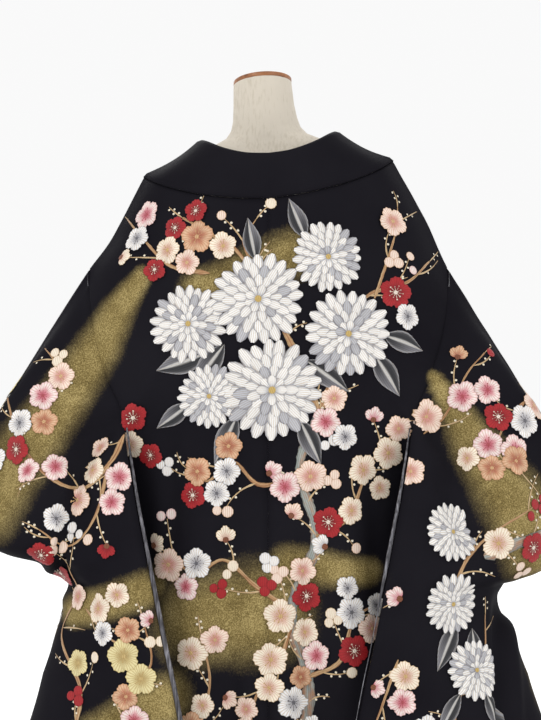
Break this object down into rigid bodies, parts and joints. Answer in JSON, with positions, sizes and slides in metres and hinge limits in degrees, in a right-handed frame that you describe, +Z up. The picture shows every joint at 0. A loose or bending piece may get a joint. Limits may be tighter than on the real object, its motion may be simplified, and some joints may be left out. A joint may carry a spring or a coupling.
{
  "type": "uchikake wedding kimono on a dress form",
  "caption": "Long padded bridal over-kimono with wide hanging sleeves, a broad collar and a rolled hem, worn open on a limbless dress form with a round foot.",
  "frame": {"origin": "middle of the stand's round foot, on the floor", "axes": "+Z up; the garment's back faces +Y and its open front faces -Y; the wearer's left sleeve is at +X"},
  "size_m": [1.0298, 1.0297, 1.5035],
  "materials": {
    "black_silk": "satin",
    "silver_lining": "satin",
    "linen_cover": "matte",
    "turned_wood": "satin",
    "painted_stand": "satin"
  },
  "bodies": {
    "root": {"body_left": "black_silk", "body_right": "black_silk", "overlap_left": "black_silk", "overlap_right": "black_silk", "sleeve_left": "black_silk", "sleeve_right": "black_silk", "collar": "black_silk", "hem_roll": "silver_lining", "sleeve_edge_left": "silver_lining", "sleeve_edge_right": "silver_lining", "form_torso": "linen_cover", "neck_cap": "turned_wood", "stand_post": "painted_stand", "stand_base": "painted_stand"}
  },
  "joints": []
}
